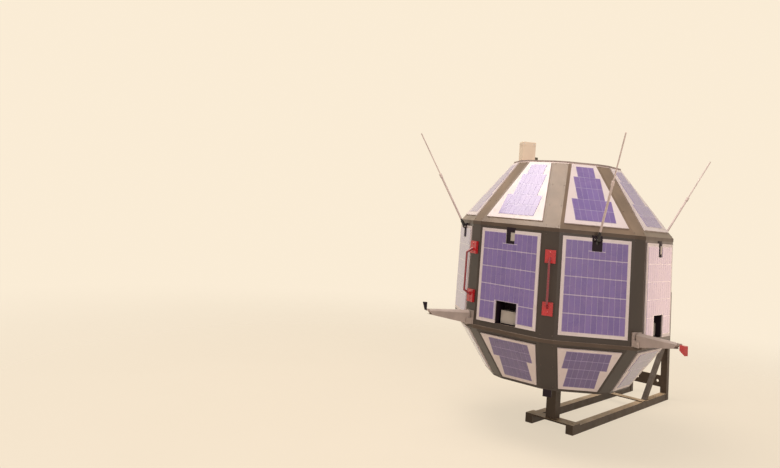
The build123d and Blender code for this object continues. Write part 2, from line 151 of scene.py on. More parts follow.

# Dust and a painted highlight where a surface looks up: such tops come out paler, as if lit from above.
dust_and_top_sheen, taken, given = new_group("dust_and_top_sheen", ["Amount", "Scale", "Slope"], ["Mask"])
facing = parted(dust_and_top_sheen, add_node(dust_and_top_sheen, "ShaderNodeTexCoord").outputs["Normal"])
looks_up = spread(dust_and_top_sheen, facing["Z"], taken["Slope"], 0.95)
film = spread(dust_and_top_sheen, speckle(dust_and_top_sheen, taken["Scale"], 5.0), 0.30, 0.70, 0.62, 1.0)
dust_and_sheen_share = sums(dust_and_top_sheen, "MULTIPLY", looks_up, film)
dust_and_top_sheen.links.new(sums(dust_and_top_sheen, "MULTIPLY", dust_and_sheen_share, taken["Amount"], clamp=True), given["Mask"])


def use_group(tree, group, **values):
    node = add_node(tree, "ShaderNodeGroup", node_tree=group)
    for key, value in values.items():
        feed(tree, value, node.inputs[key.replace("_", " ")])
    return node.outputs


def new_finish(name, **plain):
    # A material with its shader; plain numbers and colours go straight on the shader's sockets.
    finish = bpy.data.materials.new(name)
    finish.use_nodes = True
    shader = finish.node_tree.nodes["Principled BSDF"]
    for key, value in plain.items():
        shader.inputs[key.replace("_", " ")].default_value = value
    return finish, finish.node_tree, shader


def spray(tree, shader, color, patch_color, patch, scale, roughness, gloss_spread):
    # A paint film on the shader. Its colour can be covered by other tints afterwards.
    film = use_group(tree, paint_film, Color=color, Patch_Color=patch_color, Patch=patch, Scale=scale,
                     Roughness=roughness, Gloss_Spread=gloss_spread)
    tree.links.new(film["Color"], shader.inputs["Base Color"])
    tree.links.new(film["Roughness"], shader.inputs["Roughness"])
    return film


def cover(tree, shader, mask, color):
    below = shader.inputs["Base Color"].links[0].from_socket
    tree.links.new(tint(tree, mask, below, color), shader.inputs["Base Color"])


def raise_grain(tree, shader, height, strength, distance):
    bump = add_node(tree, "ShaderNodeBump")
    bump.inputs["Strength"].default_value = strength
    bump.inputs["Distance"].default_value = distance
    tree.links.new(height, bump.inputs["Height"])
    tree.links.new(bump.outputs["Normal"], shader.inputs["Normal"])


def painted(name, color, patch_color, patch, scale, roughness, gloss_spread, grain,
            bare_color, wear, dust_and_sheen_color, dust_and_sheen_amount, dust_and_sheen_slope=0.35, **plain):
    finish, tree, shader = new_finish(name, **plain)
    film = spray(tree, shader, color, patch_color, patch, scale, roughness, gloss_spread)
    cover(tree, shader, use_group(tree, worn_edges, Width=0.0012, Amount=wear)["Mask"], bare_color)
    # Surfaces that look up get a paler tint, partly dust and partly a painted highlight of the light from
    # above.
    dust_and_sheen_layer = use_group(tree, dust_and_top_sheen, Amount=dust_and_sheen_amount, Scale=9.0, Slope=dust_and_sheen_slope)
    cover(tree, shader, dust_and_sheen_layer["Mask"], dust_and_sheen_color)
    raise_grain(tree, shader, film["Height"], grain, 0.0004)
    return finish


def wear_finish(finish, *names):
    for name in names:
        for slot in nodes[name].material_slots:
            slot.material = finish


# The pale tan on the bracket's tops is a painted highlight of the light from above, with some dust.
bracket_paint = painted(
    "bracket_paint", color=(0.055, 0.035, 0.022, 1), patch_color=(0.078, 0.053, 0.034, 1), patch=0.7,
    scale=14.0, roughness=0.50, gloss_spread=0.30, grain=0.35, bare_color=(0.16, 0.12, 0.09, 1), wear=0.7,
    dust_and_sheen_color=(0.72, 0.53, 0.33, 1), dust_and_sheen_amount=1.0, dust_and_sheen_slope=0.78, Specular_IOR_Level=0.35)
wear_finish(bracket_paint, "bracket_arms", "bracket_uprights", "bracket_braces", "bracket_plates",
            "bracket_post")


def at(x, y, z):
    return Matrix.Translation((x, y, z))


def turned(degrees, line):
    return Matrix.Rotation(radians(degrees), 4, line)


def repeat(piece, count, step, turn_u=0.0, turn_v=0.0):
    bpy.context.view_layer.objects.active = piece
    array = piece.modifiers.new("row", "ARRAY")
    array.count = count
    array.use_relative_offset = False
    array.use_constant_offset = True
    array.constant_offset_displace = step
    array.offset_u = turn_u
    array.offset_v = turn_v
    bpy.ops.object.modifier_apply(modifier=array.name)


def copy_to(model, place):
    # A copy with a mesh of its own.
    copy = model.copy()
    copy.data = model.data.copy()
    bpy.context.scene.collection.objects.link(copy)
    copy.matrix_world = place
    return copy


def set_down(piece, name, body, finish):
    # The piece takes its name and finish, and its place goes into its mesh.
    bpy.ops.object.select_all(action="DESELECT")
    piece.select_set(True)
    bpy.context.view_layer.objects.active = piece
    bpy.ops.object.transform_apply(location=True, rotation=True, scale=True)
    piece.name = name
    piece.data.name = name
    piece.data.materials.clear()
    piece.data.materials.append(finish)
    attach(piece, body)


def set_many(model, spots, name, body, finish):
    # Copies of one modelled piece, joined where they sit.
    bpy.ops.object.select_all(action="DESELECT")
    for spot in spots:
        copy = copy_to(model, spot)
        copy.select_set(True)
        bpy.context.view_layer.objects.active = copy
    if len(spots) > 1:
        bpy.ops.object.join()
    set_down(bpy.context.view_layer.objects.active, name, body, finish)


def put_away(*models):
    for model in models:
        bpy.data.objects.remove(model)


def pressed_ball(segments, rings, radius, squash):
    bpy.ops.object.select_all(action="DESELECT")
    bpy.ops.mesh.primitive_uv_sphere_add(segments=segments, ring_count=rings, radius=radius,
                                         location=(0, 0, 0))
    bpy.ops.object.mode_set(mode="EDIT")
    bpy.ops.mesh.select_all(action="SELECT")
    bpy.ops.transform.resize(value=squash)
    bpy.ops.object.mode_set(mode="OBJECT")
    bpy.ops.object.shade_smooth()
    return bpy.context.object


# One weld bead, a row of overlapping ripples as long as the tube is wide.
ripples = 13
ripple_step = 0.0021
bead = pressed_ball(8, 6, 0.0026, (0.8, 1.0, 1.0))
repeat(bead, ripples, (ripple_step, 0, 0))
bead.location = (-(ripples // 2) * ripple_step, 0, 0)
bpy.ops.object.transform_apply(location=True)

tube = 0.030
arm_middle = 0.088
brace_foot_edges = (0.240, 0.291)
brace_head_edges = (0.2205, 0.2715)
arm_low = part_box("bracket_arms")[0]
arm_top = arm_low.z + tube
post_low, post_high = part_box("bracket_post")
post_size = 0.040
short_bead = Matrix.Diagonal((0.7, 1, 1, 1))
long_bead = Matrix.Diagonal((1.35, 1, 1, 1))
beads = []
for x in (-arm_middle, arm_middle):
    beads.append(at(x, -tube, arm_top))
    for edge in (-tube / 2, tube / 2):
        beads.append(at(x + edge, -tube, arm_low.z + tube / 2) @ turned(90, "Y"))
    for reach in brace_foot_edges:
        beads.append(at(x, -reach, arm_top) @ short_bead)
    for rise in brace_head_edges:
        beads.append(at(x, -tube, arm_low.z + rise) @ short_bead)
post_foot = at(0, (post_low.y + post_high.y) / 2, post_low.z)
for side in range(4):
    beads.append(post_foot @ turned(90 * side, "Z") @ at(0, -post_size / 2, 0) @ long_bead)
set_many(bead, beads, "bracket_welds", "root", bracket_paint)
put_away(bead)

# Struts, walls, rings and decks
# The body is screwed together from folded aluminium strips and sheet, with a ring round each end of
# its barrel. It has a thin satin coat of dark brown grey, thinner on the rings, and a bare top deck.
# On upward slopes the struts are tinted pale tan, partly dust and partly a painted highlight of the light
# from above.
strut_coat = painted(
    "strut_coat", color=(0.038, 0.025, 0.020, 1), patch_color=(0.050, 0.034, 0.026, 1), patch=0.8,
    scale=7.0, roughness=0.37, gloss_spread=0.15, grain=0.2, bare_color=(0.24, 0.18, 0.14, 1), wear=0.5,
    dust_and_sheen_color=(0.54, 0.38, 0.26, 1), dust_and_sheen_amount=0.95, Specular_IOR_Level=0.5)
ring_coat = painted(
    "ring_coat", color=(0.088, 0.060, 0.044, 1), patch_color=(0.115, 0.080, 0.058, 1), patch=0.8,
    scale=9.0, roughness=0.45, gloss_spread=0.2, grain=0.2, bare_color=(0.32, 0.25, 0.19, 1), wear=0.6,
    dust_and_sheen_color=(0.42, 0.32, 0.24, 1), dust_and_sheen_amount=0.7, Specular_IOR_Level=0.3)
deck_alloy = painted(
    "deck_alloy", color=(0.46, 0.37, 0.34, 1), patch_color=(0.38, 0.30, 0.275, 1), patch=0.8,
    scale=11.0, roughness=0.55, gloss_spread=0.25, grain=0.2, bare_color=(0.60, 0.50, 0.46, 1), wear=0.6,
    dust_and_sheen_color=(0.50, 0.41, 0.36, 1), dust_and_sheen_amount=0.3, Specular_IOR_Level=0.2)
# A pale band is painted along the top edge of the struts and walls, where the deck is seated: painted
# light over the shade beneath the deck's lip.
tree = strut_coat.node_tree
rim_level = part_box("upper_panel_a")[1].z - 0.0005
painted_light_rim = sums(tree, "GREATER_THAN", parted(tree, on_object(tree))["Z"], rim_level)
cover(tree, tree.nodes["Principled BSDF"], painted_light_rim, (0.62, 0.50, 0.46, 1))
wear_finish(strut_coat, "corner_struts", "body_walls", "bottom_deck")
wear_finish(ring_coat, "upper_ring", "lower_ring")
wear_finish(deck_alloy, "top_deck")

deck_low, deck_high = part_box("top_deck")
axis = Vector(((deck_low.x + deck_high.x) / 2, (deck_low.y + deck_high.y) / 2, 0))


def face_frame(angle, reach, level, lean=0.0):
    # On a face of the body: X to the right, Y up the face, Z out of it.
    spot = axis + Vector((sin(radians(angle)) * reach, -cos(radians(angle)) * reach, level))
    return Matrix.Translation(spot) @ turned(angle, "Z") @ Matrix.Rotation(radians(90) - lean, 4, "X")


def pick(piece, kind, test):
    # Selects the faces or the edges that pass the test, in edit mode.
    bpy.ops.object.mode_set(mode="EDIT")
    bpy.ops.mesh.select_mode(type=kind)
    bpy.ops.mesh.select_all(action="DESELECT")
    form = bmesh.from_edit_mesh(piece.data)
    for part in form.faces if kind == "FACE" else form.edges:
        if test(part):
            part.select_set(True)
    bmesh.update_edit_mesh(piece.data)


def at_top(edge):
    return edge.verts[0].co.z > 0 and edge.verts[1].co.z > 0


def screw(radius, rise):
    # A low round head with a socket in it, sunk to half its depth below the plane Z = 0.
    bpy.ops.object.select_all(action="DESELECT")
    bpy.ops.mesh.primitive_cylinder_add(vertices=12, radius=radius, depth=2 * rise, location=(0, 0, 0))
    head = bpy.context.object
    pick(head, "EDGE", at_top)
    bpy.ops.mesh.bevel(offset=rise * 0.6, segments=2)
    pick(head, "FACE", lambda face: face.normal.z > 0.99)
    bpy.ops.mesh.inset(thickness=radius * 0.32)
    bpy.ops.mesh.inset(thickness=radius * 0.06, depth=-rise * 0.8)
    bpy.ops.object.mode_set(mode="OBJECT")
    return head


half_corner = radians(22.5)
half_facet = 0.026
barrel_apothem = 0.396
barrel_foot = 0.110
upper_slope_foot, upper_height, upper_inset = 0.492, 0.252, 0.190
lower_slope_foot, lower_height, lower_inset = -0.082, 0.179, 0.1198
lower_apothem = 0.2647
facet_middle = barrel_apothem / cos(half_corner) - half_facet * tan(half_corner)
lower_facet_middle = lower_apothem / cos(half_corner) - half_facet * tan(half_corner)
strut_lengths = [
    # reach, foot, lean, places of the screws up the strut
    (facet_middle, barrel_foot, 0.0, (0.012, 0.358)),
    (facet_middle, upper_slope_foot, atan2(upper_inset / cos(half_corner), upper_height),
     (0.010, 0.105, 0.205, 0.315)),
    (lower_facet_middle, lower_slope_foot, -atan2(lower_inset / cos(half_corner), lower_height),
     (0.012, 0.110, 0.208)),
]
strut_screw_line = 0.021
strut_screw = screw(0.0024, 0.0008)
strut_spots = []
for number in range(8):
    for side in (-strut_screw_line, strut_screw_line):
        for reach, foot, lean, places in strut_lengths:
            for place in places:
                strut_spots.append(face_frame(22.5 + 45 * number, reach, foot, lean) @ at(side, place, 0))
set_many(strut_screw, strut_spots, "strut_screws", "root", strut_coat)

# Solar panel plates
# Each wide face carries three honeycomb plates faced in aluminium and sprayed white, held down by
# small low-headed screws along their bare margins.
panel_finish, tree, shader = new_finish("panel_white", Specular_IOR_Level=0.7)
film = spray(tree, shader, color=(0.76, 0.67, 0.67, 1), patch_color=(0.69, 0.59, 0.59, 1), patch=0.7,
             scale=6.0, roughness=0.36, gloss_spread=0.25)
cover(tree, shader, use_group(tree, worn_edges, Width=0.001, Amount=0.5)["Mask"], (0.42, 0.36, 0.33, 1))
grime = spread(tree, speckle(tree, 22.0, 6.0), 0.56, 0.72, 0.0, 0.35)
cover(tree, shader, grime, (0.50, 0.41, 0.38, 1))
raise_grain(tree, shader, film["Height"], 0.15, 0.0003)
face_names = "abcdefgh"
for row in ("side", "upper", "lower"):
    wear_finish(panel_finish, *[f"{row}_panel_{name}" for name in face_names])

plate_thickness = 0.004
side_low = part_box("side_panel_a")[0]
plate_reach = axis.y - side_low.y
side_foot = side_low.z
upper_lean = atan2(upper_inset, upper_height)
lower_lean = -atan2(lower_inset, lower_height)


def side_face(angle, rise=0.0):
    return face_frame(angle, plate_reach + rise, side_foot)


def upper_slope(angle):
    return face_frame(angle, barrel_apothem, upper_slope_foot, upper_lean)


def lower_slope(angle):
    return face_frame(angle, lower_apothem, lower_slope_foot, lower_lean)


# Screws stand in both margins at these heights over the foot of a face, and in these columns along
# its wide ends. On the slopes the margins draw in with the taper.
side_margin = 0.1172
side_rows = (0.0062, 0.0877, 0.1692, 0.2507, 0.3322)
side_columns = (-0.060, 0.060)
upper_margin, upper_taper = 0.1164, -0.24936
upper_rows = (0.030, 0.120, 0.210, 0.300)
upper_columns = (-0.055, 0, 0.055)
lower_margin, lower_taper = 0.0625, 0.23038
lower_rows = (0.0165, 0.075, 0.135, 0.193)
lower_columns = (-0.060, 0, 0.060)
side_screws = [(x, y) for x in (-side_margin, side_margin) for y in side_rows]
side_screws += [(x, y) for x in side_columns for y in (side_rows[0], side_rows[-1])]
upper_screws = [(side * (upper_margin + upper_taper * y), y) for side in (-1, 1) for y in upper_rows]
upper_screws += [(x, upper_rows[0]) for x in upper_columns]
lower_screws = [(side * (lower_margin + lower_taper * y), y) for side in (-1, 1) for y in lower_rows]
lower_screws += [(x, lower_rows[-1]) for x in lower_columns]
panel_screw = screw(0.0021, 0.0004)
for number, name in enumerate(face_names):
    angle = 45 * number
    spots = [side_face(angle) @ at(x, y, 0) for x, y in side_screws]
    spots += [upper_slope(angle) @ at(x, y, plate_thickness) for x, y in upper_screws]
    spots += [lower_slope(angle) @ at(x, y, plate_thickness) for x, y in lower_screws]
    set_many(panel_screw, spots, f"panel_screws_{name}", "root", panel_finish)
put_away(strut_screw, panel_screw)


# Solar cells
# Violet-blue silicon cells about 20 mm wide, each under its own cover glass, with fine silver fingers
# and a bar along one side, are bonded in strings to a film that is paler round the barrel.
def bonding_film(name, color, patch_color):
    finish, tree, shader = new_finish(name, Coat_Weight=1.0, Coat_Roughness=0.10, Specular_IOR_Level=0.5)
    spray(tree, shader, color, patch_color, patch=0.8, scale=12.0, roughness=0.30, gloss_spread=0.1)
    return finish


barrel_film = bonding_film("barrel_film", (0.58, 0.49, 0.63, 1), (0.50, 0.42, 0.55, 1))
slope_film = bonding_film("slope_film", (0.34, 0.275, 0.51, 1), (0.28, 0.22, 0.43, 1))
wear_finish(barrel_film, "side_cells")
wear_finish(slope_film, "upper_cells", "lower_cells")


def off_line(tree, value, line):
    return sums(tree, "ABSOLUTE", sums(tree, "SUBTRACT", value, line))


# On its map each cell fills one square. Its field starts at field_step times the field's number, and the
# fields of the lower slope, which come last, get painted shade, as they face down.
field_step = 40
first_lower_field = 16
finger_count = 14.0
cell_glass, tree, shader = new_finish("cell_glass", Coat_Weight=1.0, Coat_Roughness=0.10,
                                      Specular_IOR_Level=0.5)
across, along, _ = parted(tree, add_node(tree, "ShaderNodeUVMap", uv_map="cell_grid").outputs["UV"])
cell_number = add_node(tree, "ShaderNodeCombineXYZ")
tree.links.new(sums(tree, "FLOOR", across), cell_number.inputs["X"])
tree.links.new(sums(tree, "FLOOR", along), cell_number.inputs["Y"])
chance = add_node(tree, "ShaderNodeTexWhiteNoise", noise_dimensions="3D")
tree.links.new(cell_number.outputs["Vector"], chance.inputs["Vector"])
crystal = tint(tree, chance.outputs["Value"], (0.140, 0.083, 0.313, 1), (0.186, 0.116, 0.383, 1))
bloom = spread(tree, speckle(tree, 30.0, 5.0), 0.35, 0.70, 0.0, 0.6)
crystal = tint(tree, bloom, crystal, (0.212, 0.130, 0.368, 1))
# Painted shade on the cells of the lower slope, which face down.
lower_slope_shade = sums(tree, "GREATER_THAN", across, first_lower_field * field_step - 0.5)
crystal = tint(tree, sums(tree, "MULTIPLY", lower_slope_shade, 0.45), crystal, (0.045, 0.030, 0.085, 1))
finger_run = sums(tree, "FRACT", sums(tree, "MULTIPLY", along, finger_count))
fingers = spread(tree, off_line(tree, finger_run, 0.5), 0.40, 0.47, 0.0, 0.22)
bar = spread(tree, off_line(tree, sums(tree, "FRACT", across), 0.07), 0.050, 0.020, 0.0, 0.40)
silver = sums(tree, "MAXIMUM", fingers, bar)
tree.links.new(tint(tree, silver, crystal, (0.38, 0.32, 0.54, 1)), shader.inputs["Base Color"])
tree.links.new(spread(tree, speckle(tree, 9.0, 3.0), 0.3, 0.7, 0.26, 0.31), shader.inputs["Roughness"])


def upright(edge):
    run = edge.verts[1].co - edge.verts[0].co
    return abs(run.normalized().z) > 0.9


def slab(width, length, thickness):
    bpy.ops.object.select_all(action="DESELECT")
    bpy.ops.mesh.primitive_cube_add(size=1, location=(0, 0, 0), scale=(width, length, thickness))
    bpy.ops.object.transform_apply(scale=True)
    return bpy.context.object


column_gap = 0.0006
row_gap = 0.0028
glass_thickness = 0.0006
# The middle of the glass stands this far over the film, so its underside is bedded in the film.
glass_rise = 0.0001
# The glass takes up this share of its square on the map and so stays clear of the next cell's.
map_share = 0.96


def cell_block(left, foot, width, length, columns, rows):
    # One cell with clipped corners and a fine chamfer, repeated in columns and rows.
    cell = slab(width - column_gap, length - row_gap, glass_thickness)
    pick(cell, "EDGE", upright)
    bpy.ops.mesh.bevel(offset=0.0012, segments=1)
    pick(cell, "EDGE", at_top)
    bpy.ops.mesh.bevel(offset=0.00015, segments=1)
    bpy.ops.object.mode_set(mode="OBJECT")
    grid = cell.data.uv_layers.active
    grid.name = "cell_grid"
    for loop in cell.data.loops:
        spot = cell.data.vertices[loop.vertex_index].co
        grid.data[loop.index].uv = (0.5 + map_share * spot.x / width, 0.5 + map_share * spot.y / length)
    repeat(cell, columns, (width, 0, 0), turn_u=1.0)
    repeat(cell, rows, (0, length, 0), turn_v=1.0)
    cell.location = (left + width / 2, foot + length / 2, glass_rise)
    return cell


def cell_field(blocks):
    field = [cell_block(*block) for block in blocks]
    bpy.ops.object.select_all(action="DESELECT")
    for piece in field:
        piece.select_set(True)
    bpy.context.view_layer.objects.active = field[0]
    bpy.ops.object.join()
    bpy.ops.object.transform_apply(location=True)
    return bpy.context.view_layer.objects.active


def lay_field(model, name, place, number):
    copy = copy_to(model, place)
    for corner in copy.data.uv_layers["cell_grid"].data:
        corner.uv.x += field_step * number
    set_down(copy, name, "root", cell_glass)


def tier(half_width, foot, length, columns, rows):
    # A block of cells that reaches as far to the left of the middle as to the right.
    return (-half_width, foot, 2 * half_width / columns, length, columns, rows)


half_field = 0.1119
field_columns = 11
column = 2 * half_field / field_columns
band = 0.06308
foot_line = 0.0115
top_band = foot_line + 4 * band
head_line = foot_line + 5 * band
notch_half = 0.0185
antenna_notch_foot = 0.2924
block_notch_foot = 0.2884
cutout_head = 0.0815


def around_notch(notch_foot):
    # The top band of a side field, which leaves out the notch in its middle.
    beside = 1.5 * column - notch_half
    return [
        # left, foot, cell width, cell length, columns, rows
        (-half_field, top_band, column, band, 4, 1),
        (1.5 * column, top_band, column, band, 4, 1),
        (-1.5 * column, top_band, column, notch_foot - top_band, 3, 1),
        (-1.5 * column, notch_foot, beside, head_line - notch_foot, 1, 1),
        (notch_half, notch_foot, beside, head_line - notch_foot, 1, 1),
    ]


plain_field = cell_field(around_notch(antenna_notch_foot) + [
    tier(half_field, foot_line, band, field_columns, 4),
])
sensor_field = cell_field(around_notch(block_notch_foot) + [
    (-half_field, foot_line, column, band, 3, 2),
    (2.5 * column, foot_line, column, band, 3, 2),
    (-2.5 * column, cutout_head, column, foot_line + 2 * band - cutout_head, 5, 1),
    tier(half_field, foot_line + 2 * band, band, field_columns, 2),
])
upper_field = cell_field([
    tier(0.0745, 0.040, 0.0485, 7, 2),
    tier(0.0515, 0.137, 0.053, 5, 2),
    tier(0.0340, 0.243, 0.051, 3, 1),
])
lower_field = cell_field([
    tier(0.0575, 0.024, 0.043, 6, 2),
    tier(0.0810, 0.110, 0.0395, 8, 2),
])
film_thickness = 0.0008
on_film = at(0, 0, plate_thickness + film_thickness)
for number, name in enumerate(face_names):
    angle = 45 * number
    side_field = sensor_field if name in "aceg" else plain_field
    lay_field(side_field, f"cells_side_{name}", side_face(angle, film_thickness), number)
    lay_field(upper_field, f"cells_upper_{name}", upper_slope(angle) @ on_film, number + 8)
    lay_field(lower_field, f"cells_lower_{name}", lower_slope(angle) @ on_film, number + first_lower_field)
put_away(plain_field, sensor_field, upper_field, lower_field)

# Sensor recesses
# A matt black sheet tray is let into the foot of every other panel, with a light grey machined
# box in it. A lid closes the box with four screws. A small grey block sits in each notch above.
black_coat = painted(
    "black_coat", color=(0.013, 0.006, 0.012, 1), patch_color=(0.020, 0.011, 0.017, 1), patch=0.8,
    scale=20.0, roughness=0.60, gloss_spread=0.2, grain=0.4, bare_color=(0.06, 0.05, 0.05, 1), wear=0.4,
    dust_and_sheen_color=(0.10, 0.08, 0.075, 1), dust_and_sheen_amount=0.15, Specular_IOR_Level=0.2)
grey_alloy = painted(
    "grey_alloy", color=(0.47, 0.42, 0.38, 1), patch_color=(0.38, 0.335, 0.305, 1), patch=0.7,
    scale=25.0, roughness=0.40, gloss_spread=0.3, grain=0.25, bare_color=(0.62, 0.57, 0.52, 1), wear=0.5,
    dust_and_sheen_color=(0.50, 0.44, 0.38, 1), dust_and_sheen_amount=0.2, Metallic=0.25)
wear_finish(black_coat, "recess_trays")
wear_finish(grey_alloy, "sensor_boxes", "notch_blocks")

lid_width, lid_length, lid_thickness = 0.0625, 0.0445, 0.0016
lid_screw_column, lid_screw_row, lid_screw_level = 0.0265, 0.0175, 0.0018
lid = slab(lid_width, lid_length, lid_thickness)
pick(lid, "EDGE", upright)
bpy.ops.mesh.bevel(offset=0.003, segments=3)
pick(lid, "FACE", lambda face: face.normal.z > 0.9)
bpy.ops.mesh.inset(thickness=0.0007, depth=0.0004)
bpy.ops.object.mode_set(mode="OBJECT")
lid_screw = screw(0.0022, 0.0010)
sensor_low, sensor_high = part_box("sensor_boxes")
lid_spots = []
lid_screw_spots = []
for angle in (0, 90, 180, 270):
    place = face_frame(angle, axis.y - sensor_low.y, (sensor_low.z + sensor_high.z) / 2)
    lid_spots.append(place @ at(0, 0, lid_thickness / 2))
    for x in (-lid_screw_column, lid_screw_column):
        for y in (-lid_screw_row, lid_screw_row):
            lid_screw_spots.append(place @ at(x, y, lid_screw_level))
set_many(lid, lid_spots, "sensor_lids", "root", grey_alloy)
set_many(lid_screw, lid_screw_spots, "sensor_lid_screws", "root", grey_alloy)
put_away(lid, lid_screw)


# Antenna feet and whips
# Each whip is a stiff tube with a thinner rod in it, sprayed a pale pink grey, and its lower end
# is black: a black sleeve, carried further up as painted shade near the foot. It folds on a pin in a
# moulded black foot that fills its notch.
def from_axis(tree):
    # The place on the object, measured from the spin axis.
    fit = add_node(tree, "ShaderNodeVectorMath", operation="SUBTRACT")
    fit.inputs[1].default_value = axis
    tree.links.new(on_object(tree), fit.inputs[0])
    return fit.outputs["Vector"]


def leg(tree, measure, start, share):
    return sums(tree, "MULTIPLY", sums(tree, "SUBTRACT", measure, start), share)


pivot_reach = 0.406
pivot_level = 0.463
whip_lean = radians(30)
sleeve_and_shade_top = 0.034
wear_finish(black_coat, "antenna_feet")
whip_paint, tree, shader = new_finish("whip_paint", Specular_IOR_Level=0.5)
film = spray(tree, shader, color=(0.74, 0.61, 0.57, 1), patch_color=(0.60, 0.48, 0.45, 1), patch=0.7,
             scale=24.0, roughness=0.38, gloss_spread=0.25)
x, y, z = parted(tree, from_axis(tree))
out = sums(tree, "SQRT", sums(tree, "ADD", sums(tree, "MULTIPLY", x, x), sums(tree, "MULTIPLY", y, y)))
climb = sums(tree, "ADD", leg(tree, out, pivot_reach, sin(whip_lean)),
             leg(tree, z, pivot_level, cos(whip_lean)))
# The lower end of each whip is black: a black sleeve, carried further up as painted shade near the foot.
cover(tree, shader, sums(tree, "LESS_THAN", climb, sleeve_and_shade_top), (0.018, 0.014, 0.014, 1))
raise_grain(tree, shader, film["Height"], 0.15, 0.0002)
wear_finish(whip_paint, "antenna_b", "antenna_d", "antenna_f", "antenna_h")

steel, tree, shader = new_finish("pin_steel", Metallic=0.9)
spray(tree, shader, color=(0.46, 0.43, 0.40, 1), patch_color=(0.34, 0.31, 0.29, 1), patch=0.8,
      scale=60.0, roughness=0.32, gloss_spread=0.3)
foot_half_width = 0.0115
pin_head = screw(0.0032, 0.0014)
pin_spots = []
for angle in (45, 135, 225, 315):
    pivot = face_frame(angle, pivot_reach, pivot_level)
    for side in (-1, 1):
        pin_spots.append(pivot @ at(side * foot_half_width, 0, 0) @ turned(90 * side, "Y"))
set_many(pin_head, pin_spots, "antenna_pin_heads", "root", steel)

# Booms and their hinges
# Four short box booms, pressed from sheet and tapered to the tip, fold on a pin between two cheeks.
# They are sprayed light grey. Each ends in a dark wedge or a red block.
boom_paint = painted(
    "boom_paint", color=(0.47, 0.385, 0.345, 1), patch_color=(0.37, 0.30, 0.265, 1), patch=0.8,
    scale=16.0, roughness=0.42, gloss_spread=0.25, grain=0.2, bare_color=(0.60, 0.52, 0.46, 1), wear=0.6,
    dust_and_sheen_color=(0.56, 0.48, 0.42, 1), dust_and_sheen_amount=0.4)
wear_finish(boom_paint, "boom_ha", "boom_bc", "boom_de", "boom_fg", "boom_hinges")
wear_finish(black_coat, "boom_tip_ha", "boom_tip_de")

boom_pivot_reach = 0.022
boom_pivot_level = 0.120
hinge_plate = 0.004
cheek_side = 0.0175
hinge_screw_column = 0.0198
hinge_screw_rows = (0.007, 0.041)
hinge_screw = screw(0.0018, 0.0012)
pin_size = Matrix.Diagonal((2.2, 2.2, 1.2, 1))
hinge_spots = []
for angle in (337.5, 67.5, 157.5, 247.5):
    pivot = face_frame(angle, facet_middle + boom_pivot_reach, boom_pivot_level)
    plate = face_frame(angle, facet_middle + hinge_plate, barrel_foot)
    for side in (-1, 1):
        hinge_spots.append(pivot @ at(side * cheek_side, 0, 0) @ turned(90 * side, "Y") @ pin_size)
        for row in hinge_screw_rows:
            hinge_spots.append(plate @ at(side * hinge_screw_column, row, 0))
set_many(hinge_screw, hinge_spots, "boom_hinge_screws", "root", boom_paint)

# Red handles and caps
# Solid blocks are bolted to the struts in pairs, one above the other, with a bowed rod between each
# pair to lift by. All are sprayed a glossy red, as are the square blocks on two of the booms.
red_gloss = painted(
    "red_gloss", color=(0.58, 0.016, 0.024, 1), patch_color=(0.44, 0.011, 0.016, 1), patch=0.7,
    scale=18.0, roughness=0.26, gloss_spread=0.2, grain=0.15, bare_color=(0.66, 0.20, 0.19, 1), wear=0.5,
    dust_and_sheen_color=(0.62, 0.16, 0.15, 1), dust_and_sheen_amount=0.25, Coat_Weight=0.6, Coat_Roughness=0.12)
# The rods are a darker red than the blocks.
block_depth = 0.010
rod_start = facet_middle + block_depth + 0.0035
handle_gloss = red_gloss.copy()
handle_gloss.name = "handle_gloss"
tree = handle_gloss.node_tree
size = add_node(tree, "ShaderNodeVectorMath", operation="ABSOLUTE")
tree.links.new(from_axis(tree), size.inputs[0])
reach = add_node(tree, "ShaderNodeVectorMath", operation="DOT_PRODUCT")
reach.inputs[1].default_value = (sin(half_corner), cos(half_corner), 0)
tree.links.new(size.outputs["Vector"], reach.inputs[0])
on_rod = sums(tree, "GREATER_THAN", reach.outputs["Value"], rod_start)
cover(tree, tree.nodes["Principled BSDF"], on_rod, (0.25, 0.018, 0.032, 1))
wear_finish(handle_gloss, "red_handles")
wear_finish(red_gloss, "boom_tip_bc", "boom_tip_fg")

handle_foot = 0.059
handle_head = 0.284
half_block = 0.023
bolt_offset = 0.0125
handle_bolt = pressed_ball(16, 8, 0.0044, (1.0, 1.0, 0.72))
bolt_spots = []
for angle in (337.5, 22.5, 157.5, 202.5):
    for middle in (handle_foot + half_block, handle_head - half_block):
        for rise in (-bolt_offset, bolt_offset):
            bolt_spots.append(face_frame(angle, facet_middle + block_depth, side_foot + middle + rise))
set_many(handle_bolt, bolt_spots, "handle_bolts", "root", red_gloss)

# Fittings on the decks
# A cream painted box with a slip-on lid stands on the top deck beside a low dark block. Small black
# feet stand under the bottom deck, and a plain grey block inside holds the place of the equipment.
cream_paint = painted(
    "cream_paint", color=(0.88, 0.72, 0.55, 1), patch_color=(0.80, 0.64, 0.48, 1), patch=0.7,
    scale=12.0, roughness=0.45, gloss_spread=0.25, grain=0.2, bare_color=(0.50, 0.42, 0.34, 1), wear=0.5,
    dust_and_sheen_color=(0.74, 0.64, 0.52, 1), dust_and_sheen_amount=0.3)
olive_coat = painted(
    "olive_coat", color=(0.075, 0.062, 0.032, 1), patch_color=(0.10, 0.085, 0.048, 1), patch=0.7,
    scale=20.0, roughness=0.5, gloss_spread=0.25, grain=0.25, bare_color=(0.26, 0.22, 0.16, 1), wear=0.5,
    dust_and_sheen_color=(0.22, 0.19, 0.13, 1), dust_and_sheen_amount=0.3)
wear_finish(cream_paint, "top_box")
wear_finish(olive_coat, "low_block")
wear_finish(black_coat, "deck_feet")
wear_finish(grey_alloy, "equipment_block")

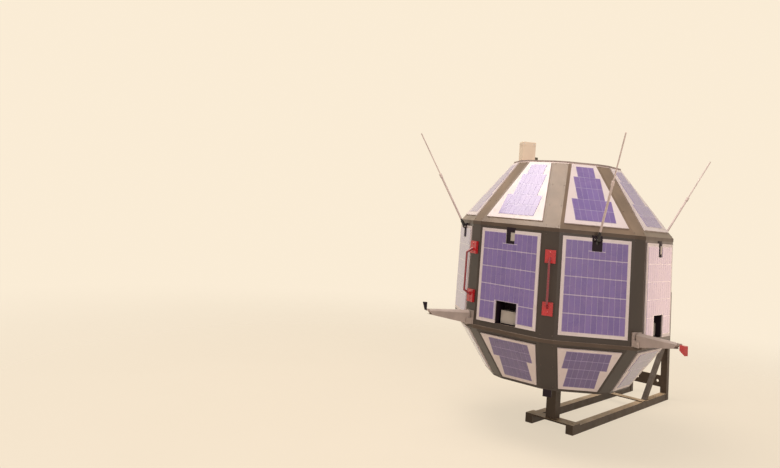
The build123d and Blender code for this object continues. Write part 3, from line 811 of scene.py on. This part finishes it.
box_lid_width, box_lid_depth = 0.0552, 0.016
box_lid_drop = 0.0074
box_screw_column = 0.020
box_low, box_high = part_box("top_box")
box_lid = slab(box_lid_width, box_lid_width, box_lid_depth)
pick(box_lid, "EDGE", lambda edge: upright(edge) or at_top(edge))
bpy.ops.mesh.bevel(offset=0.0012, segments=3)
bpy.ops.object.mode_set(mode="OBJECT")
lid_place = at((box_low.x + box_high.x) / 2, (box_low.y + box_high.y) / 2, box_high.z - box_lid_drop)
set_many(box_lid, [lid_place @ turned(-45, "Z")], "top_box_lid", "root", cream_paint)
box_screw = screw(0.0024, 0.0012)
box_spots = []
for angle in (-45, 45, 135, 225):
    lid_side = lid_place @ turned(angle, "Z") @ turned(90, "X")
    for x in (-box_screw_column, box_screw_column):
        box_spots.append(lid_side @ at(x, 0.0, box_lid_width / 2))
set_many(box_screw, box_spots, "top_box_screws", "root", steel)
put_away(box_lid, box_screw, pin_head, hinge_screw, handle_bolt)

# Floor and light
# A wide pale floor under the bracket's arms fades into a plain pale surround. A large soft lamp hangs
# above on the left, another fills from the front right, and a small warm one is low behind on the right.
floor_radius = 9.0
floor_gap = 0.0005
fade_start, fade_end = 0.8, 4.2
floor_lift = 0.68
bpy.ops.object.select_all(action="DESELECT")
bpy.ops.mesh.primitive_circle_add(vertices=96, radius=floor_radius, fill_type="NGON",
                                  location=(axis.x, axis.y, arm_low.z - floor_gap))
floor = bpy.context.object
bpy.ops.object.mode_set(mode="EDIT")
bpy.ops.mesh.select_all(action="SELECT")
bpy.ops.mesh.inset(thickness=4.0)
bpy.ops.object.mode_set(mode="OBJECT")
bpy.ops.object.transform_apply(location=True)
floor.name = "pale_floor"
floor_finish, tree, shader = new_finish("pale_floor", Specular_IOR_Level=0.2)
spray(tree, shader, color=(0.76, 0.67, 0.54, 1), patch_color=(0.73, 0.64, 0.51, 1), patch=0.6,
      scale=1.6, roughness=0.7, gloss_spread=0.2)
gone = add_node(tree, "ShaderNodeVectorMath", operation="DISTANCE")
gone.inputs[1].default_value = (axis.x, axis.y, arm_low.z)
tree.links.new(on_object(tree), gone.inputs[0])
fade = spread(tree, gone.outputs["Value"], fade_start, fade_end)
pale = add_node(tree, "ShaderNodeEmission")
pale.inputs["Color"].default_value = (0.98, 0.85, 0.67, 1)
path = add_node(tree, "ShaderNodeLightPath").outputs
seen = sums(tree, "MAXIMUM", path["Is Camera Ray"], path["Is Glossy Ray"])


def blend_shaders(tree, share, first, second):
    mix = add_node(tree, "ShaderNodeMixShader")
    for socket, source in zip(mix.inputs, (share, first, second)):
        tree.links.new(source, socket)
    return mix.outputs[0]


lift = sums(tree, "MULTIPLY", seen, floor_lift)
lifted = blend_shaders(tree, lift, shader.outputs[0], pale.outputs[0])
clear = add_node(tree, "ShaderNodeBsdfTransparent").outputs[0]
tree.links.new(blend_shaders(tree, fade, lifted, clear), tree.nodes["Material Output"].inputs["Surface"])
floor.data.materials.append(floor_finish)

world = bpy.data.worlds.new("pale_surround")
world.use_nodes = True
bpy.context.scene.world = world
tree = world.node_tree
lit = tree.nodes["Background"]
lit.inputs["Color"].default_value = (1.0, 0.90, 0.82, 1)
lit.inputs["Strength"].default_value = 0.34
shown = add_node(tree, "ShaderNodeBackground")
shown.inputs["Color"].default_value = (0.96, 0.84, 0.67, 1)
shown.inputs["Strength"].default_value = 1.0
path = add_node(tree, "ShaderNodeLightPath").outputs
seen = sums(tree, "ADD", sums(tree, "ADD", path["Is Camera Ray"], path["Is Glossy Ray"]),
            path["Is Transmission Ray"], clamp=True)
tree.links.new(blend_shaders(tree, seen, lit.outputs[0], shown.outputs[0]),
               tree.nodes["World Output"].inputs["Surface"])

lamp_rows = [
    # name, place, aim, width, watts, color
    ("overhead_left", (-0.62, -1.85, 3.38), (0.0, -1.15, 0.5), 2.4, 95.0, (1.0, 0.91, 0.83)),
    ("front_right", (3.2, -3.6, 1.6), (0.0, -0.97, 0.3), 2.4, 48.0, (1.0, 0.91, 0.86)),
    ("back_right", (1.22, 1.37, 0.15), (0.4, -0.97, 0.3), 0.9, 3.4, (1.0, 0.66, 0.51)),
]
for name, place, aim, width, watts, color in lamp_rows:
    lamp_data = bpy.data.lights.new(name, "AREA")
    lamp_data.shape = "DISK"
    lamp_data.size = width
    lamp_data.energy = watts
    lamp_data.color = color
    lamp = bpy.data.objects.new(name, lamp_data)
    lamp.location = place
    lamp.rotation_euler = (Vector(aim) - Vector(place)).to_track_quat("-Z", "Y").to_euler()
    lamp.visible_camera = False
    bpy.context.scene.collection.objects.link(lamp)

bpy.context.scene.view_settings.view_transform = "Standard"
